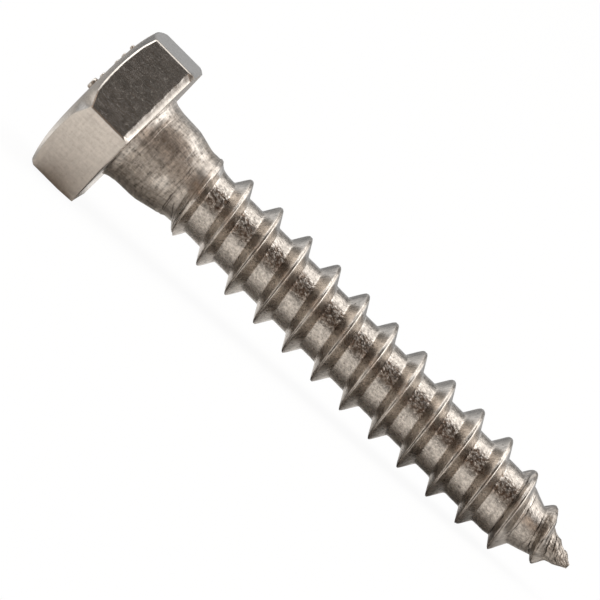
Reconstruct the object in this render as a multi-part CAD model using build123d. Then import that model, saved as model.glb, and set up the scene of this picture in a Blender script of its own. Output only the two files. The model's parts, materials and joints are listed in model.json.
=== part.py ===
from build123d import *
import os
from math import acos, atan2, cos, degrees, exp, radians, sin, tan

# A stainless steel hex lag screw: hex head, plain shank, rolled wood thread and gimlet point.
# It is headed and rolled from one blank, so it is one solid. Lengths are in mm, angles in degrees.
# The screw is drawn along +X, with X = 0 on the bearing face under the head. It is then laid down
# as it rests on a table: on one flat of the head and on the thread near the point.

# Driving dimensions
length_under_head = 37.8
across_flats = 11.0
head_height = 4.37
neck_diameter = 6.06
shank_diameter = 5.92
thread_diameter = 6.36
root_diameter = 4.34
pitch = 2.54
thread_angle = 60.0

# Head: a flat crown circle, then shallow cones down to the corners (depth below the crown, radius)
crown_flat_radius = 3.0
crown_knees = ((0.10, 4.2), (0.36, 5.3), (1.40, 7.4))
corner_radius = 0.22
edge_radius = 0.15

# Neck under the head, and the cones from the shank down to the thread root
neck_flare = 0.2
neck_length = 0.8
neck_step = 0.08
shank_end = 2.35
taper_knee = 3.9
taper_knee_radius = 2.58
root_start = 6.2

# Gimlet point: cones down to a small blunt nose
point_start = 31.6
point_knees = ((33.6, 1.87), (35.4, 1.24), (37.2, 0.46))
nose_radius = 0.13

# Thread: a ridge with a flat crest, wound round the root
crest_flat = 0.3
thread_phase = 8.77
thread_start = 2.86
thread_turns = 13.5
spans_per_turn = 2
stations_per_span = 10
runout_depth = 0.75
runout_middle = 3.9
runout_length = 1.9
fade_start = 32.0
fade_end = 37.4
fade_power = 1.8

# Plain raised bars on the crown: distance from the centre, length and width
crown_bars = ((3.68, 1.6, 0.30), (2.86, 2.6, 0.50), (2.16, 3.0, 0.60), (0.70, 3.4, 1.00))
crown_bar_height = 0.22
crown_bar_sunk = 0.1
crown_bar_draft = 12.0
crown_bar_direction = 83.7

root_radius = root_diameter / 2
thread_depth = (thread_diameter - root_diameter) / 2
flank_slope = tan(radians(thread_angle / 2))
span_angle = 360 / spans_per_turn
point_profile = [(point_start, root_radius), *point_knees, (length_under_head, nose_radius)]


def core_radius(x):
    """Radius of the root and of the point's cones under the thread."""
    if x <= point_start:
        return root_radius
    for (x0, r0), (x1, r1) in zip(point_profile, point_profile[1:]):
        if x <= x1:
            return r0 + (r1 - r0) * (x - x0) / (x1 - x0)
    return nose_radius


def ridge_height(x):
    """Height of the thread over the root: it grows out of the taper and fades on the point."""
    grown = thread_depth - runout_depth * exp(-(x - runout_middle) / runout_length)
    along = max(0.0, (x - fade_start) / (fade_end - fade_start))
    return max(0.03, grown * (1 - along**fade_power))


def ridge_section(turn_angle):
    """Corners of the thread's section at one angle, from its rear foot to its front foot."""
    middle = thread_phase + pitch * turn_angle / 360
    crest = core_radius(middle) + ridge_height(middle)
    half_crest = crest_flat / 2
    half_foot = half_crest + ridge_height(middle) * flank_slope
    half_section = ((half_foot, None), (half_crest, crest))
    turn = radians(turn_angle)
    corners = []
    for side, order in ((-1, half_section), (1, half_section[::-1])):
        for half, radius in order:
            x = middle + side * half
            r = core_radius(x) if radius is None else radius
            corners.append(Vector(x, r * cos(turn), r * sin(turn)))
    return corners


def ridge_edges(start, end):
    """The long edges of one span of the ridge, as splines through its sections."""
    steps = stations_per_span
    angles = [start + (end - start) * i / steps for i in range(steps + 1)]
    sections = [ridge_section(angle) for angle in angles]
    nudge = 0.01
    tangents = []
    for angle in (start, end):
        before = ridge_section(angle - nudge)
        after = ridge_section(angle + nudge)
        tangents.append([(b - a) * ((end - start) / (2 * nudge)) for a, b in zip(before, after)])
    parameters = [i / steps for i in range(steps + 1)]
    edges = []
    for corner in range(len(sections[0])):
        points = [section[corner] for section in sections]
        ends = [tangents[0][corner], tangents[1][corner]]
        edges.append(Edge.make_spline(points, tangents=ends, parameters=parameters, scale=False))
    return edges


def nose_arc(start_angle):
    """The rim of the blunt nose along one span, from the angle given."""
    points = []
    for angle in (start_angle, start_angle + span_angle / 2, start_angle + span_angle):
        turn = radians(angle)
        points.append((length_under_head, nose_radius * cos(turn), nose_radius * sin(turn)))
    return Edge.make_three_point_arc(*points)


def make_thread():
    """Root, thread and point as one skin of ruled faces.

    It starts inside the shank, where a spiral ramp to the axis and a flat cap close it. The last
    turn runs out onto the nose cone, and a flat step closes the end of the ridge.
    """
    start = (thread_start - thread_phase) / pitch * 360
    angles = [start + span_angle * i for i in range(round(thread_turns * spans_per_turn) + 1)]
    ridge = [ridge_edges(a, b) for a, b in zip(angles, angles[1:])]
    rear = [span[0] for span in ridge]
    front = [span[-1] for span in ridge]
    faces = []
    for span in ridge:
        for edge, following in zip(span, span[1:]):
            faces.append(Face.make_surface_from_curves(edge, following))
    for foot, next_foot in zip(front, rear[spans_per_turn:]):
        faces.append(Face.make_surface_from_curves(foot, next_foot))
    axis_points = [Vector((foot @ 0).X, 0, 0) for foot in rear[:spans_per_turn + 1]]
    for foot, a, b in zip(rear, axis_points, axis_points[1:]):
        faces.append(Face.make_surface_from_curves(foot, Edge.make_line(a, b)))
    nose_rim = [nose_arc(angle) for angle in angles[-spans_per_turn - 1:-1]]
    for foot, arc in zip(front[-spans_per_turn:], nose_rim):
        faces.append(Face.make_surface_from_curves(foot, arc))
    faces.append(Face(Wire(nose_rim)))
    start_cap = ridge_section(angles[0]) + [rear[spans_per_turn] @ 0] + axis_points[::-1]
    end_step = [front[-spans_per_turn] @ 0] + ridge_section(angles[-1]) + [nose_rim[0] @ 0]
    for cap in (start_cap, end_step):
        faces.append(Face(Wire.make_polygon(cap, close=True)))
    return Solid(Shell(faces))


def turned(outline):
    """A solid turned about the screw's axis from the straight-sided half outline given."""
    with BuildSketch() as half:
        with BuildLine():
            Polyline(*outline, close=True)
        make_face()
    return revolve(half.sketch, Axis.X).solid()


def make_shank():
    """Neck, shank and the two cones down to the root, running on a little under the thread."""
    neck_radius = neck_diameter / 2
    shank_radius = shank_diameter / 2
    inside_head = -head_height / 2
    slope = (root_radius - taper_knee_radius) / (root_start - taper_knee)
    return turned([
        (inside_head, 0),
        (inside_head, neck_radius + neck_flare),
        (0, neck_radius + neck_flare),
        (neck_flare, neck_radius),
        (neck_length, neck_radius),
        (neck_length + neck_step, shank_radius),
        (shank_end, shank_radius),
        (taper_knee, taper_knee_radius),
        (root_start + 1, root_radius + slope),
        (root_start + 1, 0),
    ])


def make_head():
    """Hexagon with a domed crown, soft corners and plain raised bars."""
    corner_distance = across_flats / 2 / cos(radians(30))
    hexagon = RegularPolygon(corner_distance, 6)
    prism = extrude(Plane.YZ.offset(-head_height) * hexagon, head_height)
    prism = fillet(prism.edges().filter_by(Axis.X), corner_radius)
    prism = fillet(prism.faces().sort_by(Axis.X)[-1].edges(), edge_radius)
    outline = [(-head_height, 0), (-head_height, crown_flat_radius)]
    outline += [(depth - head_height, radius) for depth, radius in crown_knees]
    outline += [(1, crown_knees[-1][1]), (1, 0)]
    head = (prism & turned(outline)).solid()
    seat = Plane.YZ.offset(-head_height + crown_bar_sunk)
    for distance, length, width in crown_bars:
        outline = seat * Pos(distance, 0) * SlotOverall(length, width, rotation=90)
        bar = extrude(outline, -(crown_bar_height + crown_bar_sunk), taper=crown_bar_draft)
        head = head + Rotation(crown_bar_direction, 0, 0) * bar
    return head


def rest_pitch():
    """Nose-down angle at which the head's lower edge and the thread both touch the table."""
    turns = round((fade_start - thread_phase) / pitch - 0.75)
    contact = thread_phase + pitch * (turns + 0.75)
    contact_x = contact + crest_flat / 2
    contact_radius = core_radius(contact) + ridge_height(contact)
    rise = across_flats / 2 - edge_radius - contact_radius
    run = contact_x + edge_radius
    return degrees(acos(-edge_radius / (rise**2 + run**2) ** 0.5) - atan2(run, rise))


def make_screw():
    """The whole screw, lying at rest with its origin under the middle of its box."""
    screw = make_thread() + make_shank() + make_head()
    screw = Rotation(0, rest_pitch(), 0) * screw.solid()
    box = screw.bounding_box()
    middle = box.center()
    return Pos(-middle.X, -middle.Y, -box.min.Z) * screw


os.makedirs("parts", exist_ok=True)
lag_bolt = make_screw()
lag_bolt.label = "lag_bolt"
export_step(lag_bolt, "parts/lag_bolt.step")
print("rest pitch", round(rest_pitch(), 3), "volume", round(lag_bolt.volume, 1))
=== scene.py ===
import json
import math
import bmesh
import bpy
from mathutils import Matrix, Vector, noise


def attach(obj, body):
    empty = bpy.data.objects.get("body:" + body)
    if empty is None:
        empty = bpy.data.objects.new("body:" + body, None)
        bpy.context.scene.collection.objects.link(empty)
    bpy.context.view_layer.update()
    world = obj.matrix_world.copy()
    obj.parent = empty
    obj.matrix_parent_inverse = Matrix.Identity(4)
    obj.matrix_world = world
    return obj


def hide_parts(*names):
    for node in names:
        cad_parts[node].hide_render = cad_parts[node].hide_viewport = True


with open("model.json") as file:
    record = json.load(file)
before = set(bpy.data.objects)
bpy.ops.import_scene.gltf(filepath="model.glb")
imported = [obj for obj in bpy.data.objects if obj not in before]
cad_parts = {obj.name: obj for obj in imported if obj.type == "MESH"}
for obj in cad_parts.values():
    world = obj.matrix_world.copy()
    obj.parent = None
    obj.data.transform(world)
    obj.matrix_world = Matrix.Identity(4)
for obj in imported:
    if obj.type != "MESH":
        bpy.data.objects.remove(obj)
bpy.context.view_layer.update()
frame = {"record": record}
scene = bpy.context.scene
scene.view_settings.view_transform = "Standard"

# Everything on the bolt is drawn in mm along its own axis, x = 0 under the head, and angles are
# degrees round the axis from +Y over the top. boltFrame lays that on the CAD part.
mm = 0.001
threadMount = next(m for m in frame["record"]["mounts"] if m["name"] == "wood_thread")
mountX = 18.0
alongAxis = Vector(threadMount["axis"]).normalized()
acrossAxis = Vector((0, 1, 0))
overAxis = alongAxis.cross(acrossAxis)
underHead = Vector(threadMount["pos_m"]) - alongAxis * mountX * mm
boltFrame = Matrix.Translation(underHead) @ Matrix((alongAxis, acrossAxis, overAxis)).transposed().to_4x4()
boltFrame = boltFrame @ Matrix.Scale(mm, 4)


# World place of a point given along the bolt, in mm and degrees
def onAxis(x, angle=0.0, radius=0.0):
    turn = math.radians(angle)
    return boltFrame @ Vector((x, radius * math.cos(turn), radius * math.sin(turn)))


# World direction square to the axis at that angle
def outward(angle):
    return (onAxis(0, angle, 1) - onAxis(0)).normalized()


# Camera
eye = {
    "aimX": 14.24,
    "side": 173.7,
    "above": 83.7,
    "lower": 0.087,
    "distance": 450.0,
    "roll": 45.1,
    "lens": 433.0,
    "sensor": 36.0,
}


def makeCamera(eye):
    toward = outward(eye["side"])
    above = outward(eye["above"])
    roll = math.radians(eye["roll"])
    right = alongAxis * math.cos(roll) + above * math.sin(roll)
    up = above * math.cos(roll) - alongAxis * math.sin(roll)
    data = bpy.data.cameras.new("camera")
    data.lens = eye["lens"]
    data.sensor_width = eye["sensor"]
    data.clip_start = 0.01
    data.clip_end = 20.0
    camera = bpy.data.objects.new("camera", data)
    scene.collection.objects.link(camera)
    aim = onAxis(eye["aimX"]) - above * eye["lower"] * mm
    place = aim + toward * eye["distance"] * mm
    axes = Matrix((right, up, toward)).transposed().to_4x4()
    camera.matrix_world = Matrix.Translation(place) @ axes
    return camera


scene.camera = makeCamera(eye)
print("camera done")


# Thread and shank. x is along the bolt
screw = {
    "length": 37.8,
    "pitch": 2.54,
    "phase": 8.77,  # x of one crest on the side of +Y
    "stepsPerTurn": 112,
    "firstX": -3.1,
    "netRadius": 3.0,
    "turns": 17,
    "seat": -0.08,
    "flare": 0.2,
    "flareLength": 0.62,
    "rise": 1.01,  # full height of the ridge
    "crestHalf": 0.16,
    "crestDrop": 0.09,  # drop of the section at crestHalf
    "footHalf": 0.82,
    "footSpread": ((4.6, 0.85), (8.0, 0.5)),  # least width of the ridge's flanks, by x
    "lean": 0.0621,
    "leanStart": (5.5, 8.0),
    "slim": 0.055,  # how much narrower the ridge is at its lower side
    "late": (0.42, 4.3, 1.3),  # the run-out lags behind: how much, from x, fading over
    "wander": 0.025,
    "crestWander": 0.02,
    "seamRough": 0.035,
    "crestRough": 0.018,
    "skinRough": 0.01,
    "skinGrain": (2.6, 5.0),  # how fine the roughness is: along the bolt, and round it
    "pointRough": (0.05, 34.6, 35.9),
    "runoutRough": (0.02, 4.6, 0.8),
    # Radius of the core: neck, shank, the taper to the root, and the point
    "core": (
        (0.2, 3.08), (0.68, 3.04), (0.74, 2.99), (2.1, 2.95), (2.5, 2.92), (4.0, 2.55), (4.7, 2.38),
        (5.6, 2.2), (6.4, 2.17), (32.5, 2.18), (33.0, 2.06), (33.4, 1.88), (34.0, 1.67), (34.8, 1.43),
        (35.4, 1.22), (36.0, 0.92), (36.5, 0.74), (37.0, 0.56), (37.4, 0.36), (37.65, 0.2), (37.8, 0.09),
    ),
    # Radius of the crest where it stands over the core
    "crest": (
        (2.9, 2.8), (3.5, 2.72), (4.3, 2.69), (5.0, 2.8), (5.6, 2.9), (6.8, 3.07), (8.1, 3.11),
        (9.4, 3.15), (12.0, 3.18), (29.7, 3.18), (30.9, 3.11), (31.6, 2.97), (32.2, 2.82), (33.5, 2.78),
        (34.8, 2.14), (36.0, 1.52), (36.8, 0.9), (37.3, 0.46), (37.8, 0.1),
    ),
    # How far the ridge strays from an even lead
    "stray": ((7.0, 0.0), (9.0, 0.06), (17.0, 0.055), (24.0, 0.03), (31.0, 0.0)),
    # Half of the ridge's section: distance from the middle of the crest, drop below it
    "ridge": (
        (0.0, 0.045), (0.025, 0.035), (0.045, 0.01), (0.065, 0.0), (0.09, 0.01), (0.12, 0.036),
        (0.16, 0.09), (0.22, 0.19), (0.31, 0.345), (0.4, 0.503), (0.49, 0.663), (0.56, 0.785),
        (0.61, 0.87), (0.66, 0.94), (0.72, 0.988), (0.82, 1.01), (0.96, 1.01), (1.12, 1.01), (1.27, 1.01),
    ),
    # Dents: x, angle, half width along the bolt, half width round it in degrees, depth
    "dents": (
        (31.0, 262, 0.1, 9, 0.14), (32.0, 92, 0.12, 10, 0.16), (32.35, 108, 0.14, 9, 0.12),
        (32.3, 66, 0.3, 16, 0.1), (26.1, 250, 0.08, 6, 0.08), (15.0, 170, 0.1, 6, 0.07),
        (20.2, 203, 0.09, 6, 0.07), (9.9, 240, 0.08, 6, 0.06), (17.4, 150, 0.1, 5, 0.06),
        (22.6, 160, 0.1, 5, 0.06), (28.0, 178, 0.1, 5, 0.06), (12.5, 196, 0.1, 5, 0.05),
        (5.6, 266, 0.1, 12, 0.22), (4.62, 262, 0.2, 20, 0.1), (34.9, 100, 0.1, 10, 0.1),
        (35.6, 150, 0.2, 20, 0.1), (35.35, 118, 0.14, 16, -0.14), (35.8, 100, 0.12, 14, 0.1),
        (36.3, 92, 0.16, 20, -0.12), (36.95, 190, 0.12, 30, 0.08), (36.6, 160, 0.12, 25, -0.07),
        (36.2, 205, 0.14, 25, 0.08), (4.16, 244, 0.09, 16, 0.16), (36.0, 175, 0.1, 30, 0.07),
    ),
}


# Value at x of a line drawn through the knots
def between(knots, x):
    if x <= knots[0][0]:
        return knots[0][1]
    for (x0, y0), (x1, y1) in zip(knots, knots[1:]):
        if x <= x1:
            return y0 + (y1 - y0) * (x - x0) / (x1 - x0)
    return knots[-1][1]


# The same with its corners rounded off
def eased(knots, x, reach):
    return (between(knots, x - reach) + 2 * between(knots, x) + between(knots, x + reach)) / 4


# Turns along the thread of the nearest crest, and the distance from it
def threadPlace(x, angle):
    turnsHere = (x - screw["phase"]) / screw["pitch"] - angle / 360
    nearest = round(turnsHere)
    return nearest + angle / 360, (turnsHere - nearest) * screw["pitch"]


# 0 below low, 1 above high and a smooth change between them
def step(low, high, value):
    t = max(0.0, min(1.0, (value - low) / (high - low)))
    return t * t * (3 - 2 * t)


# Signed distance between two angles
def apart(angle, other):
    return (angle - other + 180) % 360 - 180


# Where the ridge is off its even helix, in mm along the bolt
def stray(x, angle):
    leaning = screw["lean"] * math.cos(math.radians(angle - eye["side"])) * step(*screw["leanStart"], x)
    return leaning + between(screw["stray"], x)


# Small dents, folds and roughness, as a change of radius
def damage(x, angle, turns, away, rise):
    change = 0.0
    for dentX, dentAngle, wide, around, depth in screw["dents"]:
        reach = ((x - dentX) / wide) ** 2 + (apart(angle, dentAngle) / around) ** 2
        if reach < 4:
            change -= depth * math.exp(-reach)
    turn = math.radians(angle)
    fineX, fineRound = screw["skinGrain"]
    at = Vector((x * fineX, math.cos(turn) * fineRound, math.sin(turn) * fineRound))
    pointRough, pointLow, pointHigh = screw["pointRough"]
    runoutRough, runoutX, runoutHalf = screw["runoutRough"]
    rough = screw["skinRough"] + pointRough * step(pointLow, pointHigh, x)
    rough += runoutRough * math.exp(-((x - runoutX) / runoutHalf) ** 2)
    change += rough * (noise.noise(at) + 0.6 * noise.noise(at * 2.3))
    if away < screw["crestHalf"] and rise > 0.4:
        seam = noise.noise(Vector((turns * 9, 1.7, 2.2))) + 0.4 * noise.noise(Vector((turns * 31, 5.7, 4.2)))
        inner = max(0.0, 1 - away / 0.05)
        change += screw["seamRough"] * inner * max(-1.0, min(1.0, seam * 2.5))
        across = away * 8 * (1 if turns > 0 else -1)
        change += screw["crestRough"] * noise.noise(Vector((turns * 24, across, 9.1)))
    return change


# Where a vertex of the even helical net goes: its x and its radius
def screwPoint(x, angle):
    turns, offset = threadPlace(x, angle)
    crestX = screw["phase"] + screw["pitch"] * turns
    lag, lagX, lagFade = screw["late"]
    late = lag * math.exp(-max(0.0, crestX - lagX) / lagFade)
    wander = screw["wander"] * noise.noise(Vector((turns * 2.3, 0.4, 7.1)))
    core = eased(screw["core"], crestX, 0.1)
    crest = eased(screw["crest"], crestX + late, 0.3)
    crest += screw["crestWander"] * noise.noise(Vector((turns * 5.1, 3.3, 0.2)))
    rise = max(0.0, crest - core)
    edgeDrop = screw["crestDrop"]
    grow = max(0.0, rise - edgeDrop) / (screw["rise"] - edgeDrop)
    spread = max(between(screw["footSpread"], crestX), grow)
    away = abs(offset)
    drop = between(screw["ridge"], away)
    if away < 0.06:
        drop *= abs(math.sin(math.radians(angle - eye["above"])))
    half = screw["crestHalf"]
    foot = screw["footHalf"]
    slim = screw["slim"] * max(0.0, -math.cos(math.radians(angle - eye["above"]))) * min(1.0, away / 0.1)
    if away <= half:
        moved = away - slim
        drop *= min(1.0, rise / 0.2)
    elif away <= foot:
        moved = half + (away - half) * spread - slim
        drop = edgeDrop + (drop - edgeDrop) * grow
    else:
        edge = half + (foot - half) * spread - slim
        moved = edge + (away - foot) * (screw["pitch"] / 2 - edge) / (screw["pitch"] / 2 - foot)
        drop = rise
    newX = crestX + math.copysign(moved, offset)
    newX += (late + wander) * (1 - moved / (screw["pitch"] / 2)) + stray(crestX, angle)
    radius = eased(screw["core"], newX, 0.1) + max(0.0, rise - drop)
    radius += damage(newX, angle, turns, away, rise)
    curl = 1 - (newX - screw["seat"]) / screw["flareLength"]
    if curl > 0:
        radius += screw["flare"] * min(1.0, curl) ** 2.2
    return newX, max(0.03, radius)


# A helical net over the whole length, moved out to the screw's shape and cut square at the ends
def makeScrewNet(screw):
    bm = bmesh.new()
    half = [offset for offset, drop in screw["ridge"]]
    line = [-o for o in half[:0:-1]] + half
    start = screw["firstX"]
    phaseAngle = (start - screw["phase"]) / screw["pitch"] * 360
    turn = math.radians(phaseAngle)
    radius = screw["netRadius"]
    verts = [bm.verts.new((start + o, radius * math.cos(turn), radius * math.sin(turn))) for o in line]
    edges = [bm.edges.new(pair) for pair in zip(verts, verts[1:])]
    bmesh.ops.spin(
        bm, geom=verts + edges, cent=(0, 0, 0), axis=(1, 0, 0), steps=screw["stepsPerTurn"],
        dvec=(screw["pitch"] / screw["stepsPerTurn"], 0, 0), angle=math.tau,
    )
    oneTurn = bm.verts[:] + bm.edges[:] + bm.faces[:]
    for turn in range(1, screw["turns"]):
        made = bmesh.ops.duplicate(bm, geom=oneTurn)
        copied = [g for g in made["geom"] if isinstance(g, bmesh.types.BMVert)]
        bmesh.ops.translate(bm, verts=copied, vec=(screw["pitch"] * turn, 0, 0))
    bmesh.ops.remove_doubles(bm, verts=bm.verts, dist=0.008)
    for v in bm.verts:
        angle = math.degrees(math.atan2(v.co.z, v.co.y))
        x, radius = screwPoint(v.co.x, angle)
        turn = math.radians(angle)
        v.co = (x, radius * math.cos(turn), radius * math.sin(turn))
    for x, side in ((screw["seat"], -1), (screw["length"], 1)):
        geom = bm.verts[:] + bm.edges[:] + bm.faces[:]
        bmesh.ops.bisect_plane(
            bm, geom=geom, dist=1e-5, plane_co=(x, 0, 0), plane_no=(side, 0, 0), clear_outer=True)
    nose = [e for e in bm.edges if e.is_boundary and e.verts[0].co.x > screw["length"] / 2]
    bmesh.ops.holes_fill(bm, edges=nose, sides=0)
    return bm


# Head
head = {
    "flatRadius": 5.5,
    "seat": screw["seat"],
    "height": 4.18,
    "crownFlat": 3.0,
    "crownArc": 7.6,
    "cornerRadius": (0.3, 0.5, 0.22, 0.22, 0.15, 0.3),
    "steps": 384,
    "gather": 0.88,
    "turn": 0.7,
    "offCentre": 0.05,
    "holeRadius": 3.36,
    "topEdge": 0.085,
    "topIn": 0.9,  # share of topEdge that is cut from the crown
    "topWobble": 0.02,
    "lowWobble": 0.12,
    "wobble": 14.0,
    "wornFrom": 4.3,  # radius on the crown where the wear of the corners begins
    "lowFade": (30.2, 1.6),  # the rolled edge fades at the corners: to these degrees, over these
    # Wear of the corners at the crown: angle, half width in degrees, extra depth
    "wornCorners": (
        (180, 7, 0.26), (240, 6, 0.02), (120, 5, 0.06), (60, 6, 0.1), (0, 6, 0.15), (300, 6, 0.1),
    ),
    # Rolled edge on the seat side, by angle of the flat: depth along the side, depth inwards
    "rolledEdges": {
        30: (0.2, 0.16), 90: (0.26, 0.15), 150: (0.48, 0.33),
        210: (0.12, 0.1), 270: (0.2, 0.2), 330: (0.2, 0.2),
    },
    "wornSeat": (60, 8, 0.17),  # the corner worn round there: angle, half width in degrees, depth
    # Rings of the net, from the middle of the crown over the side to the shank
    "rings": {
        "crown": (0.0, 0.6, 1.2, 1.8, 2.4, 2.8, 3.0),
        "slope": (0.06, 0.16, 0.3, 0.45, 0.6, 0.75, 0.9, 0.985),
        "topEdge": (0.0, 0.08, 0.3, 0.5, 0.7, 0.92, 1.0),
        "side": (0.012, 0.06, 0.14, 0.24, 0.36, 0.48, 0.6, 0.72, 0.84, 0.94, 0.988),
        "lowEdge": (0.0, 0.08, 0.3, 0.5, 0.7, 0.92, 1.0),
        "under": (0.03, 0.15, 0.4, 0.75, 1.0),
    },
}
headRings = [(kind, place) for kind, places in head["rings"].items() for place in places]


# Distance from the axis to the head's side, with its rounded corners
def hexRadius(angle):
    flat = head["flatRadius"]
    fromFlat = (angle - 30) % 60
    fromFlat = fromFlat - 60 if fromFlat > 30 else fromFlat
    corner = head["cornerRadius"][round(angle / 60) % 6]
    slant = math.radians(fromFlat)
    if abs(flat * math.tan(slant)) < (flat - corner) * math.tan(math.radians(30)):
        return flat / math.cos(slant)
    centre = (flat - corner) / math.cos(math.radians(30))
    swing = math.radians(30 - abs(fromFlat))
    return centre * math.cos(swing) + math.sqrt(max(0.0, corner**2 - (centre * math.sin(swing)) ** 2))


# How far the crown falls away from its flat middle at that radius
def crownDrop(radius):
    if radius <= head["crownFlat"]:
        return 0.0
    return head["crownArc"] - math.sqrt(head["crownArc"] ** 2 - (radius - head["crownFlat"]) ** 2)


# Point at t on the slightly bulging cut from a past the corner to b
def softCut(a, corner, b, t):
    bend = (a + b) / 2 + (corner - (a + b) / 2) * 0.2
    return a * (1 - t) ** 2 + bend * 2 * t * (1 - t) + b * t**2


# x and radius of the head's surface on that ring, at that angle
def headPoint(ring, angle):
    kind, t = ring
    rim = hexRadius(angle)
    turn = math.radians(angle)
    wobble = noise.noise(Vector((math.cos(turn) * head["wobble"], math.sin(turn) * head["wobble"], 5.0)))
    worn = sum(deep * math.exp(-(apart(angle, a) / wide) ** 2) for a, wide, deep in head["wornCorners"])
    topSoft = head["topEdge"] + head["topWobble"] * wobble
    flat = (round((angle - 30) / 60) * 60 + 30) % 360
    lowDeep, lowIn = head["rolledEdges"][flat]
    fadeTo, fadeOver = head["lowFade"]
    fade = min(1.0, (fadeTo - abs(apart(angle, flat))) / fadeOver) ** 0.5
    wornAngle, wornWide, wornDeep = head["wornSeat"]
    wornLow = wornDeep * math.exp(-(apart(angle, wornAngle) / wornWide) ** 2)
    lowDeep = max(0.1, lowDeep * fade * (1 + head["lowWobble"] * wobble)) + wornLow
    lowIn = max(0.08, lowIn * fade) + wornLow * 0.8
    seat = head["seat"]
    top = seat - head["height"]
    corner = Vector((top + crownDrop(rim) + worn, rim))
    innerRadius = rim - topSoft * head["topIn"]
    inner = Vector((top + crownDrop(innerRadius) + worn, innerRadius))
    onSide = Vector((corner.x + topSoft, rim))
    lowStart = Vector((seat - lowDeep, rim))
    lowEnd = Vector((seat, rim - lowIn))
    if kind == "crown":
        return top, t
    if kind == "slope":
        radius = head["crownFlat"] + (innerRadius - head["crownFlat"]) * t
        return top + crownDrop(radius) + worn * step(head["wornFrom"], innerRadius, radius), radius
    if kind == "topEdge":
        place = softCut(inner, corner, onSide, t)
    elif kind == "side":
        place = onSide.lerp(lowStart, t)
    elif kind == "lowEdge":
        place = softCut(lowStart, Vector((seat, rim)), lowEnd, t)
    else:
        place = lowEnd.lerp(Vector((seat, head["holeRadius"])), t)
    return place.x, place.y


# Rings spun round the axis, gathered towards the corners, then moved out to the hexagon
def makeHeadNet(head):
    bm = bmesh.new()
    spacing = 0.1
    verts = [bm.verts.new((i * spacing, 1.0 if i else 0.0, 0)) for i in range(len(headRings))]
    edges = [bm.edges.new(pair) for pair in zip(verts, verts[1:])]
    bmesh.ops.spin(
        bm, geom=verts + edges, cent=(0, 0, 0), axis=(1, 0, 0), dvec=(0, 0, 0), angle=math.tau,
        steps=head["steps"], use_merge=True,
    )
    bmesh.ops.remove_doubles(bm, verts=bm.verts, dist=1e-4)
    for v in bm.verts:
        ring = headRings[round(v.co.x / spacing)]
        turn = math.atan2(v.co.z, v.co.y)
        turn -= head["gather"] * math.sin(6 * turn) / 6
        x, radius = headPoint(ring, math.degrees(turn))
        turn += math.radians(head["turn"])
        v.co = (x, radius * math.cos(turn), radius * math.sin(turn))
    aside = math.radians(eye["above"] + 180)
    off = Vector((0, math.cos(aside), math.sin(aside))) * head["offCentre"]
    bmesh.ops.translate(bm, verts=bm.verts, vec=off)
    return bm


# Copies one net into another
def addNet(target, source):
    mesh = bpy.data.meshes.new("part")
    source.to_mesh(mesh)
    source.free()
    target.from_mesh(mesh)
    bpy.data.meshes.remove(mesh)


# Plain raised bars on the crown: distance from the middle, length, width, height
bars = {
    "places": (
        (3.62, 1.4, 0.34, 0.12), (2.9, 2.2, 0.4, 0.1), (2.3, 2.6, 0.4, 0.1), (1.08, 2.8, 0.44, 0.15),
        (0.3, 2.8, 0.8, 0.3),
    ),
    "direction": eye["above"],
    "sunk": 0.05,
    "soft": 0.09,
}


# A plain raised bar with round ends and soft edges, standing on the crown
def makeBar(distance, length, width, height):
    bm = bmesh.new()
    bmesh.ops.create_circle(bm, cap_ends=True, radius=width / 2, segments=24)
    for v in bm.verts:
        v.co.y += math.copysign((length - width) / 2, v.co.y) if abs(v.co.y) > 1e-6 else 0
    made = bmesh.ops.extrude_face_region(bm, geom=bm.faces[:])
    raised = [g for g in made["geom"] if isinstance(g, bmesh.types.BMVert)]
    bmesh.ops.translate(bm, verts=raised, vec=(0, 0, height + bars["sunk"]))
    rim = [e for e in bm.edges if all(v in raised for v in e.verts)]
    soft = min(bars["soft"], width / 4)
    bmesh.ops.bevel(bm, geom=rim, offset=soft, segments=3, profile=0.5, affect="EDGES", material=-1)
    crownX = head["seat"] - head["height"] + bars["sunk"]
    stand = Matrix.Translation((crownX, 0, 0)) @ Matrix.Rotation(math.radians(-90), 4, "Y")
    aim = Matrix.Rotation(math.radians(bars["direction"]), 4, "X")
    lie = Matrix.Rotation(math.radians(90), 4, "Z")
    bmesh.ops.transform(bm, matrix=aim @ Matrix.Translation((0, distance, 0)) @ stand @ lie, verts=bm.verts)
    return bm


# Where each kind of surface is: x, or distance from the axis, or angle, between which a mask rises or falls
surfaces = {
    "shank": (3.6, 5.2),
    "cone": (31.6, 33.4),
    "coneShare": 0.35,
    "point": (34.2, 35.2),
    "rootReach": (2.24, 2.4),
    "rootStart": (5.2, 5.8),
    "rootEnd": (34.6, 35.2),
    # The root's band of angles that takes brown residue and painted shade, and the x where it ends
    "grimeShadeTop": (133, 143),
    "grimeShadeFoot": (166, 179),
    "grimeShadeEnd": (32.8, 33.3),
}


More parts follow.
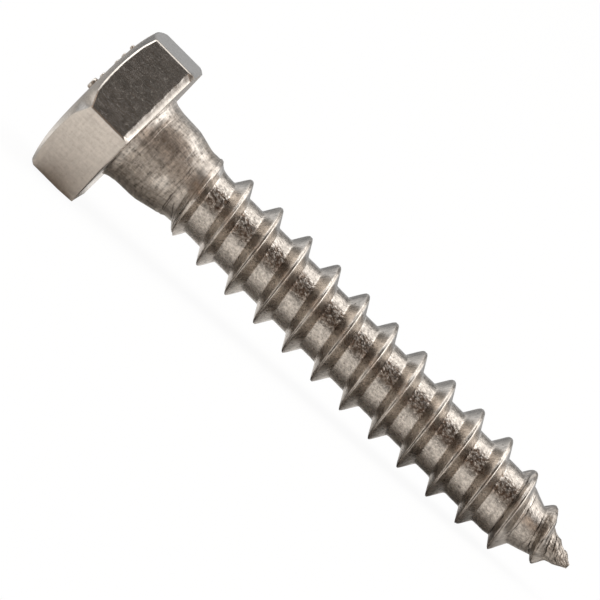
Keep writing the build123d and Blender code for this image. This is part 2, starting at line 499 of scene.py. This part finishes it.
def writeMasks(bm):
    names = ("onShank", "onHead", "onTip", "onRoot", "grimeAndShade")
    layers = {name: bm.verts.layers.float.new(name) for name in names}
    share = surfaces["coneShare"]
    for v in bm.verts:
        x = v.co.x
        angle = math.degrees(math.atan2(v.co.z, v.co.y)) % 360
        reach = math.hypot(v.co.y, v.co.z)
        isHead = x < head["seat"] + 1e-4
        v[layers["onHead"]] = 1.0 if isHead else 0.0
        v[layers["onShank"]] = 0.0 if isHead else 1 - step(*surfaces["shank"], x)
        v[layers["onTip"]] = share * step(*surfaces["cone"], x) + (1 - share) * step(*surfaces["point"], x)
        onRoot = (1 - step(*surfaces["rootReach"], reach)) * step(*surfaces["rootStart"], x)
        onRoot *= 1 - step(*surfaces["rootEnd"], x)
        v[layers["onRoot"]] = onRoot
        # Brown residue and painted shade on the root lands, only over the band of angles where the steel
        # mirrors a dark part of the room
        grimeAndShade = onRoot * step(*surfaces["grimeShadeTop"], angle) * (1 - step(*surfaces["grimeShadeFoot"], angle))
        v[layers["grimeAndShade"]] = grimeAndShade * (1 - step(*surfaces["grimeShadeEnd"], x))


# Map "grain" in mm, along the grain and across it, and map "place", hundreds of degrees and x
def writeMaps(bm):
    grain = bm.loops.layers.uv.new("grain")
    place = bm.loops.layers.uv.new("place")
    for face in bm.faces:
        centre = face.calc_center_median()
        angle = math.degrees(math.atan2(centre.z, centre.y)) % 360
        reach = math.hypot(centre.y, centre.z)
        onScrew = centre.x > head["seat"] + 0.001
        onSide = not onScrew and abs(face.normal.x) < 0.5 and reach > 4
        for loop in face.loops:
            co = loop.vert.co
            near = angle + apart(math.degrees(math.atan2(co.z, co.y)), angle)
            loop[place].uv = (near / 100, co.x)
            if onScrew:
                slip = screw["pitch"] * near / 360 + stray(co.x, near) if centre.x > 4.6 else 0
                loop[grain].uv = (math.radians(near) * screw["netRadius"], co.x - slip)
            elif onSide:
                flat = (round((angle - 30) / 60) * 60) + 30
                loop[grain].uv = (co.x, flat + math.radians(near - flat) * head["flatRadius"])
            else:
                loop[grain].uv = (co.y, co.z)


def makeBolt():
    bm = makeScrewNet(screw)
    addNet(bm, makeHeadNet(head))
    openEdges = [e for e in bm.edges if e.is_boundary]
    bmesh.ops.bridge_loops(bm, edges=openEdges)
    for place in bars["places"]:
        addNet(bm, makeBar(*place))
    bmesh.ops.recalc_face_normals(bm, faces=bm.faces)
    for face in bm.faces:
        face.smooth = True
    writeMaps(bm)
    writeMasks(bm)
    bmesh.ops.transform(bm, matrix=boltFrame, verts=bm.verts)
    mesh = bpy.data.meshes.new("bolt")
    bm.to_mesh(mesh)
    openLeft = sum(e.is_boundary for e in bm.edges)
    triangles = sum(len(f.verts) - 2 for f in bm.faces)
    bm.free()
    bolt = bpy.data.objects.new("bolt", mesh)
    scene.collection.objects.link(bolt)
    print("bolt mesh done:", triangles, "triangles,", openLeft, "open edges")
    return bolt


bolt = makeBolt()


# Steel
def newMaterial(name):
    material = bpy.data.materials.new(name)
    material.use_nodes = True
    nodes = material.node_tree.nodes
    nodes.clear()
    return material, nodes, material.node_tree.links


# A maths node on values that are each a socket or a number
def useMath(nodes, links, operation, *values):
    node = nodes.new("ShaderNodeMath")
    node.operation = operation
    for socket, value in zip(node.inputs, values):
        if isinstance(value, (int, float)):
            socket.default_value = value
        else:
            links.new(value, socket)
    return node.outputs[0]


# The value stretched from one range to another and held inside it
def remap(nodes, links, value, fromLow, fromHigh, toLow, toHigh):
    node = nodes.new("ShaderNodeMapRange")
    node.inputs["From Min"].default_value = fromLow
    node.inputs["From Max"].default_value = fromHigh
    node.inputs["To Min"].default_value = toLow
    node.inputs["To Max"].default_value = toHigh
    links.new(value, node.inputs["Value"])
    return node.outputs["Result"]


# Two colours mixed by a factor, each a socket or a value
def blend(nodes, links, factor, a, b, kind="MIX"):
    node = nodes.new("ShaderNodeMix")
    node.data_type = "RGBA"
    node.blend_type = kind
    for socket, value in ((node.inputs["Factor"], factor), (node.inputs[6], a), (node.inputs[7], b)):
        if isinstance(value, (int, float, tuple)):
            socket.default_value = value
        else:
            links.new(value, socket)
    return node.outputs[2]


# A colour ramp through those stops: place from 0 to 1, and colour
def useRamp(nodes, links, value, stops):
    node = nodes.new("ShaderNodeValToRGB")
    links.new(value, node.inputs["Fac"])
    elements = node.color_ramp.elements
    while len(elements) < len(stops):
        elements.new(1.0)
    for element, (place, colour) in zip(elements, stops):
        element.position = place
        element.color = colour
    return node


# An empty node group that takes a vector and those numbers and gives one value
def newGroup(name, **numbers):
    group = bpy.data.node_groups.new(name, "ShaderNodeTree")
    group.interface.new_socket("Vector", in_out="INPUT", socket_type="NodeSocketVector")
    for label, default in numbers.items():
        socket = group.interface.new_socket(label, in_out="INPUT", socket_type="NodeSocketFloat")
        socket.default_value = default
    group.interface.new_socket("Value", in_out="OUTPUT", socket_type="NodeSocketFloat")
    return group, group.nodes.new("NodeGroupInput"), group.nodes.new("NodeGroupOutput")


# Fine lines along the first coordinate, from 0 to 1
def makeStreaks():
    group, start, end = newGroup("streaks", Along=0.5, Across=8.0, Seed=0.0, Detail=3.0)
    nodes, links = group.nodes, group.links
    split = nodes.new("ShaderNodeSeparateXYZ")
    join = nodes.new("ShaderNodeCombineXYZ")
    links.new(start.outputs["Vector"], split.inputs[0])
    for socket, label in (("X", "Along"), ("Y", "Across")):
        scaled = useMath(nodes, links, "MULTIPLY", split.outputs[socket], start.outputs[label])
        links.new(scaled, join.inputs[socket])
    links.new(start.outputs["Seed"], join.inputs["Z"])
    texture = nodes.new("ShaderNodeTexNoise")
    texture.inputs["Scale"].default_value = 1.0
    texture.inputs["Roughness"].default_value = 0.6
    links.new(start.outputs["Detail"], texture.inputs["Detail"])
    links.new(join.outputs[0], texture.inputs["Vector"])
    links.new(remap(nodes, links, texture.outputs["Fac"], 0.28, 0.72, 0.0, 1.0), end.inputs["Value"])
    return group


# Scattered small spots in clusters: 1 inside a spot
def makeSpecks():
    group, start, end = newGroup("specks", Scale=5.0, Amount=0.4)
    nodes, links = group.nodes, group.links
    fine = nodes.new("ShaderNodeTexNoise")
    fine.inputs["Detail"].default_value = 4.0
    fine.inputs["Roughness"].default_value = 0.65
    links.new(start.outputs["Vector"], fine.inputs["Vector"])
    links.new(start.outputs["Scale"], fine.inputs["Scale"])
    lowered = useMath(nodes, links, "MULTIPLY", start.outputs["Amount"], 0.4)
    limit = useMath(nodes, links, "SUBTRACT", 0.78, lowered)
    over = useMath(nodes, links, "SUBTRACT", fine.outputs["Fac"], limit)
    links.new(remap(nodes, links, over, 0.0, 0.06, 0.0, 1.0), end.inputs["Value"])
    return group


# A thin wavering line between two places on the map of angle and x: 1 on it, 0 away from it
def makeFold():
    group, start, end = newGroup("fold", FromX=0.0, FromAngle=0.0, ToX=1.0, ToAngle=1.0, Wide=0.05, Waver=0.5)
    nodes, links = group.nodes, group.links
    split = nodes.new("ShaderNodeSeparateXYZ")
    links.new(start.outputs["Vector"], split.inputs[0])
    line, along = nodes.new("ShaderNodeMapRange"), nodes.new("ShaderNodeMapRange")
    for node in (line, along):
        node.clamp = False
        links.new(split.outputs["X"], node.inputs["Value"])
        links.new(start.outputs["FromAngle"], node.inputs["From Min"])
        links.new(start.outputs["ToAngle"], node.inputs["From Max"])
    links.new(start.outputs["FromX"], line.inputs["To Min"])
    links.new(start.outputs["ToX"], line.inputs["To Max"])
    along = along.outputs["Result"]
    drift = remap(nodes, links, start.outputs["Waver"], 0.0, 1.0, -0.06, 0.06)
    gap = useMath(nodes, links, "ADD", split.outputs["Y"], drift)
    gap = useMath(nodes, links, "SUBTRACT", gap, line.outputs["Result"])
    gap = useMath(nodes, links, "DIVIDE", useMath(nodes, links, "ABSOLUTE", gap), start.outputs["Wide"])
    core = useMath(nodes, links, "MAXIMUM", useMath(nodes, links, "SUBTRACT", 1.0, gap), 0.0)
    # Each end fades over a fifth of the length. No node clamps by itself, which keeps the shader small
    fromEnd = useMath(nodes, links, "MINIMUM", along, useMath(nodes, links, "SUBTRACT", 1.0, along))
    fade = useMath(nodes, links, "MULTIPLY", fromEnd, 5.0)
    fade = useMath(nodes, links, "MAXIMUM", useMath(nodes, links, "MINIMUM", fade, 1.0), 0.0)
    links.new(useMath(nodes, links, "MULTIPLY", core, fade), end.inputs["Value"])
    return group


# A ragged soft oval on the map of angle and x
def makePatch():
    group, start, end = newGroup("patch", X=0.0, Angle=0.0, HalfX=1.0, HalfAngle=0.1, Waver=0.5)
    nodes, links = group.nodes, group.links
    split = nodes.new("ShaderNodeSeparateXYZ")
    links.new(start.outputs["Vector"], split.inputs[0])
    squares = []
    for label, socket, half in (("X", "Y", "HalfX"), ("Angle", "X", "HalfAngle")):
        gap = useMath(nodes, links, "SUBTRACT", split.outputs[socket], start.outputs[label])
        gap = useMath(nodes, links, "DIVIDE", gap, start.outputs[half])
        squares.append(useMath(nodes, links, "MULTIPLY", gap, gap))
    reach = useMath(nodes, links, "SQRT", useMath(nodes, links, "ADD", *squares))
    ragged = remap(nodes, links, start.outputs["Waver"], 0.0, 1.0, -0.45, 0.45)
    reach = useMath(nodes, links, "ADD", reach, ragged)
    links.new(remap(nodes, links, reach, 0.55, 1.25, 1.0, 0.0), end.inputs["Value"])
    return group


def useGroup(nodes, links, group, **inputs):
    node = nodes.new("ShaderNodeGroup")
    node.node_tree = group
    for name, value in inputs.items():
        if isinstance(value, (int, float)):
            node.inputs[name].default_value = value
        else:
            links.new(value, node.inputs[name])
    return node.outputs["Value"]


steel = {
    "colour": (0.547, 0.5, 0.452, 1),
    "dull": (0.35, 0.305, 0.262, 1),
    # Brown of the residue and stains, also laid on as painted shade in the root's dark band of angles
    "grimeAndShade": (0.14, 0.085, 0.053, 1),
    # Dark colour of soot, also used for painted shade
    "sootAndShade": (0.035, 0.027, 0.021, 1),
    # Light colour of the painted glints on the root
    "paintedGlint": (0.8, 0.76, 0.71, 1),
    "headGain": 1.2,
    "roughness": 0.23,
    "darkest": 0.97,
    "bump": 0.006,
    # Streaks: how fine they are along the grain and across it, seed, detail
    "streaks": {
        "along": (1.0, 5.4, 1.3, 3.0),
        "crossing": (5.4, 1.1, 4.1, 3.0),
        "broad": (0.8, 1.6, 7.9, 3.0),
        "mottle": (2.2, 2.4, 2.5, 3.0),
        "fine": (5.2, 5.4, 9.4, 3.0),
        "coils": (0.45, 2.8, 3.2, 0.6),
        "maze": (2.9, 3.1, 5.8, 0.4),
    },
    # Folds of the rolled skin: from x and angle, to x and angle, half width, depth and darkness. The three
    # with no depth below x 0 are no folds but painted shade, dark bands along the head's edge by the seat
    "folds": (
        (3.71, 147, 3.8, 190, 0.035, 1.8, 0.6), (3.92, 144, 4.0, 194, 0.035, 1.8, 0.6),
        (3.98, 190, 4.22, 246, 0.055, 3.2, 0.95), (4.12, 198, 4.3, 243, 0.035, 1.8, 0.7),
        (4.38, 204, 5.3, 256, 0.045, 3.0, 0.85), (4.6, 206, 5.45, 258, 0.04, -2.2, 0.0),
        (4.85, 212, 5.5, 262, 0.035, 2.0, 0.6), (4.5, 84, 4.66, 130, 0.045, 1.8, 0.6),
        (0.7, 90, 0.72, 260, 0.05, -1.2, 0.0), (0.79, 100, 0.81, 240, 0.04, 1.0, 0.25),
        (32.02, 92, 32.57, 182, 0.06, 3.6, 0.95), (32.55, 176, 32.84, 240, 0.05, 3.0, 0.9),
        (33.24, 104, 33.66, 176, 0.05, 2.4, 0.75), (33.6, 160, 33.82, 232, 0.045, 2.2, 0.7),
        (34.4, 112, 34.98, 196, 0.06, 2.8, 0.85), (34.95, 188, 35.5, 250, 0.06, 2.6, 0.85),
        (35.2, 104, 35.9, 196, 0.08, 4.4, 0.9), (35.6, 120, 36.25, 215, 0.07, 4.2, 0.9),
        (35.9, 100, 36.6, 200, 0.07, 4.0, 0.85), (36.3, 96, 37.1, 230, 0.06, 3.6, 0.85),
        (35.45, 110, 36.05, 205, 0.06, -3.2, 0.0), (32.2, 92, 32.8, 190, 0.05, -2.6, 0.0),
        # The entries below x 0, here and on the next line, are painted shade: dark bands along the head's
        # edge by the seat
        (34.62, 100, 35.2, 200, 0.05, -2.6, 0.0), (-0.34, 108, -0.34, 186, 0.46, 0.0, 0.6),
        (-0.09, 198, -0.09, 240, 0.1, 0.0, 0.85), (-0.03, 114, -0.03, 152, 0.07, 0.0, 0.7),
        (3.86, 188, 4.1, 244, 0.06, -2.6, 0.0),
    ),
    # Areas of the shank: x, angle, half length, half width in degrees. The polished ones are lighter and
    # smoother, partly polish and partly a painted highlight where the light falls on the shank; the stained
    # ones are darker and browner
    "polishedAndHighlit": (
        (2.95, 123, 0.9, 12), (3.0, 196, 0.55, 11), (1.5, 100, 1.6, 12), (1.6, 168, 0.8, 8),
        (0.2, 150, 0.28, 75),
    ),
    "stained": ((1.75, 146, 1.6, 14), (4.85, 166, 0.45, 30)),
}


def makeSteel():
    material, nodes, links = newMaterial("steel")
    streaks, specks, fold, patch = makeStreaks(), makeSpecks(), makeFold(), makePatch()

    def mask(name):
        node = nodes.new("ShaderNodeAttribute")
        node.attribute_name = name
        return node.outputs["Fac"]

    def chain(operation, values):
        result = values[0]
        for value in values[1:]:
            result = useMath(nodes, links, operation, result, value)
        return result

    def times(*values):
        return chain("MULTIPLY", values)

    def plus(*values):
        return chain("ADD", values)

    def stretch(value, fromLow, fromHigh, toLow, toHigh):
        return remap(nodes, links, value, fromLow, fromHigh, toLow, toHigh)

    def mapped(name):
        node = nodes.new("ShaderNodeUVMap")
        node.uv_map = name
        return node.outputs["UV"]

    def patches(places):
        total = 0.0
        for x, angle, long, wide in places:
            made = useGroup(
                nodes, links, patch, Vector=place, X=x, Angle=angle / 100, HalfX=long, HalfAngle=wide / 100,
                Waver=waver)
            total = useMath(nodes, links, "MAXIMUM", total, made)
        return total

    uv, place = mapped("grain"), mapped("place")
    onShank, onHead, onTip, onRoot = mask("onShank"), mask("onHead"), mask("onTip"), mask("onRoot")
    along, crossing, broad, mottle, fine, coils, maze = [
        useGroup(nodes, links, streaks, Vector=uv, Along=length, Across=width, Seed=seed, Detail=detail)
        for length, width, seed, detail in steel["streaks"].values()
    ]
    waver = useGroup(nodes, links, streaks, Vector=place, Along=5.0, Across=5.0, Seed=6.2)
    pits = useGroup(nodes, links, specks, Vector=uv, Scale=3.6, Amount=0.44)

    # Thin winding lines where the value passes its middle
    def contour(value, wide):
        off = useMath(nodes, links, "ABSOLUTE", useMath(nodes, links, "SUBTRACT", value, 0.5))
        return stretch(off, 0.0, wide, 1.0, 0.0)

    wrinkles, curls = contour(maze, 0.24), contour(coils, 0.22)
    # Lighter, smoother patches on the shank: polish and painted highlight
    polishAndHighlight, stain = patches(steel["polishedAndHighlit"]), patches(steel["stained"])
    creasesAndShade, grooves = 0.0, 0.0
    for fromX, fromAngle, toX, toAngle, wide, depth, dark in steel["folds"]:
        line = useGroup(
            nodes, links, fold, Vector=place, FromX=fromX, FromAngle=fromAngle / 100, ToX=toX,
            ToAngle=toAngle / 100, Wide=wide, Waver=waver)
        if depth:
            grooves = plus(grooves, times(line, depth))
        # Dark folds, and the painted shade bands along the head's seat edge
        if dark:
            creasesAndShade = useMath(nodes, links, "MAXIMUM", creasesAndShade, times(line, dark))

    # Colour: bare steel, duller on the shank and the tip. On the thread's root, over a band of angles where
    # the steel mirrors a dark part of the room, brown residue mixed with painted shade and painted glints
    dull = plus(
        times(onShank, stretch(mottle, 0, 1, 0.5, 0.9)), times(onTip, 0.7), times(stain, 0.4),
        times(polishAndHighlight, -0.8))
    colour = blend(nodes, links, stretch(dull, 0, 1, 0, 1), steel["colour"], steel["dull"])
    colour = blend(nodes, links, times(stain, 0.36), colour, steel["grimeAndShade"])
    weave = plus(
        times(along, stretch(onShank, 0, 1, 0.26, 0.72)), times(crossing, stretch(onShank, 0, 1, 0.2, 0.62)))
    weave = plus(
        weave, times(fine, stretch(onHead, 0, 1, 0.5, 0.26)), times(onShank, -0.46),
        times(onRoot, fine, 0.36))
    weave = plus(weave, times(onRoot, -0.18), 0.49)
    weave = times(weave, stretch(onHead, 0, 1, 1.0, steel["headGain"]))
    weave = blend(nodes, links, times(onHead, 0.4), weave, (1.14, 1.14, 1.14, 1))
    colour = blend(nodes, links, 1.0, colour, weave, "MULTIPLY")
    # Brown residue and painted shade, in the root's band of angles where the steel mirrors a dark part of the
    # room
    grimeShadeZone = mask("grimeAndShade")
    grimeAndShade = times(grimeShadeZone, stretch(fine, 0.3, 0.7, 0.85, 0.1))
    colour = blend(nodes, links, grimeAndShade, colour, steel["grimeAndShade"])
    # Painted glints: light specks in the root's dark band of angles
    colour = blend(nodes, links, times(grimeShadeZone, stretch(fine, 0.66, 0.9, 0.0, 0.7)), colour, steel["paintedGlint"])
    helix = nodes.new("ShaderNodeSeparateXYZ")
    links.new(uv, helix.inputs[0])
    fromCrest = useMath(nodes, links, "SUBTRACT", helix.outputs["Y"], screw["phase"])
    fromCrest = useMath(nodes, links, "WRAP", fromCrest, screw["pitch"] / 2, -screw["pitch"] / 2)
    seam = stretch(useMath(nodes, links, "ABSOLUTE", fromCrest), 0.015, 0.055, 1.0, 0.0)
    around = nodes.new("ShaderNodeSeparateXYZ")
    links.new(place, around.inputs[0])
    angle = around.outputs["X"]
    seam = times(
        seam, stretch(broad, 0.25, 0.6, 0.15, 1.0),
        useMath(nodes, links, "SUBTRACT", 1.0, plus(onShank, onHead)))
    seam = times(seam, stretch(angle, 1.5, 1.9, 0.5, 1.2))
    # Painted shade: a dark band across the root lands over a narrow range of angles
    shadeBand = times(onRoot, stretch(angle, 1.42, 1.5, 0, 1), stretch(angle, 1.53, 1.61, 1, 0))
    # Soot of pits, folds, curls and the crest's seam, with painted shade added: the dark band, the root's
    # dark zone and the bands by the head's seat
    sootAndShade = plus(times(wrinkles, plus(times(grimeShadeZone, 0.5), times(onRoot, 0.1))), creasesAndShade, times(shadeBand, 0.32))
    sootAndShade = plus(
        sootAndShade, times(pits, stretch(onHead, 0, 1, 0.55, 0.1)), times(onTip, curls, 0.5), times(seam, 0.55))
    sootAndShade = stretch(sootAndShade, 0, 1, 0, steel["darkest"])
    colour = blend(nodes, links, sootAndShade, colour, steel["sootAndShade"])

    rough = plus(
        steel["roughness"], times(onShank, 0.2), times(onTip, 0.1), times(mottle, 0.08),
        times(polishAndHighlight, -0.1), times(sootAndShade, 0.2), times(onHead, -0.05))

    height = plus(
        times(along, stretch(onShank, 0, 1, 0.5, 1.2)), times(crossing, stretch(onShank, 0, 1, 0.4, 1.1)))
    height = plus(
        height, times(broad, stretch(onHead, 0, 1, 0.5, 0.25)), times(fine, stretch(onHead, 0, 1, 0.3, 0.7)),
        times(onRoot, fine, 0.7), times(grimeShadeZone, fine, 3.0))
    height = plus(
        height, times(grimeShadeZone, wrinkles, -1.4), times(onShank, mottle, 0.9), times(onTip, mottle, 1.6))
    height = plus(
        height, times(onTip, curls, -3.4), times(pits, stretch(onHead, 0, 1, -0.6, -0.4)),
        times(grooves, -1.0), times(seam, -1.2))
    bump = nodes.new("ShaderNodeBump")
    bump.inputs["Strength"].default_value = 1.0
    bump.inputs["Distance"].default_value = steel["bump"] * mm
    links.new(height, bump.inputs["Height"])

    out = nodes.new("ShaderNodeOutputMaterial")
    shader = nodes.new("ShaderNodeBsdfPrincipled")
    shader.inputs["Metallic"].default_value = 1.0
    links.new(colour, shader.inputs["Base Color"])
    links.new(rough, shader.inputs["Roughness"])
    links.new(bump.outputs["Normal"], shader.inputs["Normal"])
    links.new(shader.outputs["BSDF"], out.inputs["Surface"])
    return material


bolt.data.materials.append(makeSteel())
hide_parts("lag_bolt")
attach(bolt, "root")
print("steel done")


# Floor and light
floorLook = {
    "half": 4.0,
    "colour": (0.765, 0.75, 0.73, 1),
    "glow": 0.945,
    "shadeReach": 200,
    # Painted shade on the floor, seen only in the steel's reflections: how strongly the steel mirrors the
    # floor, by mm behind the bolt, dim far in front and close beneath
    "shade": (
        (-200, 0.12), (-60, 0.28), (-34, 0.74), (-20, 0.97), (-5, 1.0), (-3.2, 0.96), (-2.2, 0.79),
        (-1.2, 0.65), (0, 0.63), (1.6, 0.7), (4.5, 0.78), (7, 0.94), (10, 1.0), (13, 0.95), (18, 0.78),
        (25, 0.62), (35, 0.5), (60, 0.4), (200, 0.38),
    ),
}


def makeFloor():
    bm = bmesh.new()
    bmesh.ops.create_grid(bm, x_segments=1, y_segments=1, size=floorLook["half"])
    mesh = bpy.data.meshes.new("floor")
    bm.to_mesh(mesh)
    bm.free()
    floor = bpy.data.objects.new("floor", mesh)
    scene.collection.objects.link(floor)
    material, nodes, links = newMaterial("floor")
    out = nodes.new("ShaderNodeOutputMaterial")
    shader = nodes.new("ShaderNodeBsdfPrincipled")
    shader.inputs["Base Color"].default_value = floorLook["colour"]
    shader.inputs["Roughness"].default_value = 1.0
    shader.inputs["Specular IOR Level"].default_value = 0.0
    glow = nodes.new("ShaderNodeEmission")
    glow.inputs["Color"].default_value = (1, 1, 1, 1)
    path = nodes.new("ShaderNodeLightPath")
    direct, through = path.outputs["Is Camera Ray"], path.outputs["Is Transmission Ray"]
    seen = useMath(nodes, links, "MAXIMUM", direct, through)
    coords = nodes.new("ShaderNodeTexCoord")
    split = nodes.new("ShaderNodeSeparateXYZ")
    links.new(coords.outputs["Object"], split.inputs[0])
    reach = floorLook["shadeReach"]
    behind = remap(nodes, links, split.outputs["Y"], -reach * mm, reach * mm, 0.0, 1.0)
    stops = [((away + reach) / (2 * reach), (value, value, value, 1)) for away, value in floorLook["shade"]]
    shade = useRamp(nodes, links, behind, stops)
    # Painted shade: rays from the steel see the floor darkened by the shade ramp
    dimmed = useMath(nodes, links, "SUBTRACT", 1.0, shade.outputs["Color"])
    mirrored = useMath(nodes, links, "MULTIPLY", path.outputs["Is Glossy Ray"], dimmed)
    links.new(seen, glow.inputs["Strength"])
    seen = useMath(nodes, links, "MULTIPLY", seen, floorLook["glow"])
    mix = nodes.new("ShaderNodeMixShader")
    links.new(useMath(nodes, links, "MAXIMUM", seen, mirrored), mix.inputs["Fac"])
    links.new(shader.outputs["BSDF"], mix.inputs[1])
    links.new(glow.outputs[0], mix.inputs[2])
    links.new(mix.outputs[0], out.inputs["Surface"])
    mesh.materials.append(material)


# Soft boxes square to the bolt. side is the angle round it, shift is in mm towards the tip
lamps = {
    "overhead": {
        "height": 1200.0, "side": 83.0, "width": 1020.0, "length": 2360.0, "radiance": 1.42, "shift": 0.0,
        "colour": (1.0, 0.985, 0.965), "mirrored": True,
    },
    "tipSide": {
        "height": 1200.0, "side": 83.0, "width": 1020.0, "length": 2270.0, "radiance": 1.95, "shift": 2315.0,
        "colour": (1.0, 0.99, 0.965), "mirrored": True,
    },
    "headSide": {
        "height": 1200.0, "side": 83.0, "width": 1020.0, "length": 1770.0, "radiance": 1.55, "shift": -2065.0,
        "colour": (1.0, 0.99, 0.965), "mirrored": True,
    },
    "fill": {
        "height": 2000.0, "side": 120.0, "width": 1500.0, "length": 1500.0, "radiance": 0.9, "shift": 0.0,
        "colour": (1.0, 0.985, 0.96), "mirrored": False,
    },
}


def makeLamp(name, look):
    data = bpy.data.lights.new(name, "AREA")
    data.shape = "RECTANGLE"
    data.size = look["length"] * mm
    data.size_y = look["width"] * mm
    data.energy = look["radiance"] * math.pi * data.size * data.size_y
    data.color = look["colour"]
    lamp = bpy.data.objects.new(name, data)
    scene.collection.objects.link(lamp)
    lamp.visible_glossy = look["mirrored"]
    back = outward(look["side"])
    place = onAxis(eye["aimX"] + look["shift"]) + back * look["height"] * mm
    side = Vector((0, 1, 0)).cross(back).normalized()
    axes = Matrix((side, back.cross(side), back)).transposed().to_4x4()
    lamp.matrix_world = Matrix.Translation(place) @ axes


room = {
    # Light by height over the back, from the horizon behind over the top to the one in front: angle, then
    # colour and how much it grows towards the two ends of the bolt
    "overhead": (
        (0, (0.46, 0.478, 0.495, 0.0)), (8, (0.5, 0.517, 0.533, 0.0)), (15, (0.7, 0.72, 0.74, 0.0)),
        (20, (0.74, 0.76, 0.78, 0.05)), (31, (0.285, 0.285, 0.285, 0.75)),
        (60, (0.305, 0.305, 0.305, 0.95)), (100, (0.315, 0.315, 0.315, 0.8)),
        (108, (0.51, 0.52, 0.53, 0.7)), (113, (0.48, 0.495, 0.515, 0.6)), (118, (0.31, 0.315, 0.32, 0.6)),
        (123, (0.085, 0.08, 0.075, 0.5)), (131, (0.052, 0.047, 0.042, 0.4)),
        (140, (0.2, 0.163, 0.137, 0.3)), (150, (0.41, 0.335, 0.285, 0.3)), (160, (0.46, 0.38, 0.32, 0.3)),
        (170, (0.2, 0.165, 0.14, 0.3)), (180, (0.085, 0.075, 0.067, 0.3)),
    ),
    # The same towards the head and the tip, low over the horizon: direction's part along the bolt, strength
    "ends": (
        (-1.0, 1.5), (-0.82, 1.5), (-0.66, 1.2), (-0.45, 0.4), (-0.3, 0.46), (-0.12, 0.82), (0.12, 0.82),
        (0.3, 0.8), (0.45, 1.04), (0.66, 1.7), (0.82, 1.85), (1.0, 1.85),
    ),
    # Extra light high up, towards both ends and towards the tip: from and to which part of the direction
    # along the bolt, and the strength at both
    "highEnds": (0.2, 0.6, 1.0, 3.9),
    "highTip": (0.25, 0.85, 1.0, 1.5),
}


def makeWorld():
    world = bpy.data.worlds.new("room")
    scene.world = world
    world.use_nodes = True
    nodes, links = world.node_tree.nodes, world.node_tree.links
    nodes.clear()
    out = nodes.new("ShaderNodeOutputWorld")
    coords = nodes.new("ShaderNodeTexCoord")
    split = nodes.new("ShaderNodeSeparateXYZ")
    links.new(coords.outputs["Generated"], split.inputs[0])
    height = useMath(nodes, links, "MAXIMUM", split.outputs["Z"], 0.0)
    turn = useMath(nodes, links, "ARCTAN2", height, split.outputs["Y"])
    place = useMath(nodes, links, "DIVIDE", turn, math.pi)
    stops = [(angle / 180, colour) for angle, colour in room["overhead"]]
    colours = useRamp(nodes, links, place, stops)
    aside = useMath(nodes, links, "ABSOLUTE", split.outputs["X"])
    high = remap(nodes, links, aside, *room["highEnds"])
    stops = [((sideways + 1) / 2, (value, value, value, 1)) for sideways, value in room["ends"]]
    low = useRamp(nodes, links, remap(nodes, links, split.outputs["X"], -1.0, 1.0, 0.0, 1.0), stops)
    high = useMath(nodes, links, "MULTIPLY", high, remap(nodes, links, split.outputs["X"], *room["highTip"]))
    ends = blend(nodes, links, colours.outputs["Alpha"], low.outputs["Color"], high)
    light = nodes.new("ShaderNodeBackground")
    links.new(colours.outputs["Color"], light.inputs["Color"])
    links.new(ends, light.inputs["Strength"])
    white = nodes.new("ShaderNodeBackground")
    white.inputs["Color"].default_value = (1, 1, 1, 1)
    path = nodes.new("ShaderNodeLightPath")
    mix = nodes.new("ShaderNodeMixShader")
    links.new(path.outputs["Is Camera Ray"], mix.inputs["Fac"])
    links.new(light.outputs[0], mix.inputs[1])
    links.new(white.outputs[0], mix.inputs[2])
    links.new(mix.outputs[0], out.inputs["Surface"])


makeFloor()
for name, look in lamps.items():
    makeLamp(name, look)
makeWorld()
print("floor and light done")
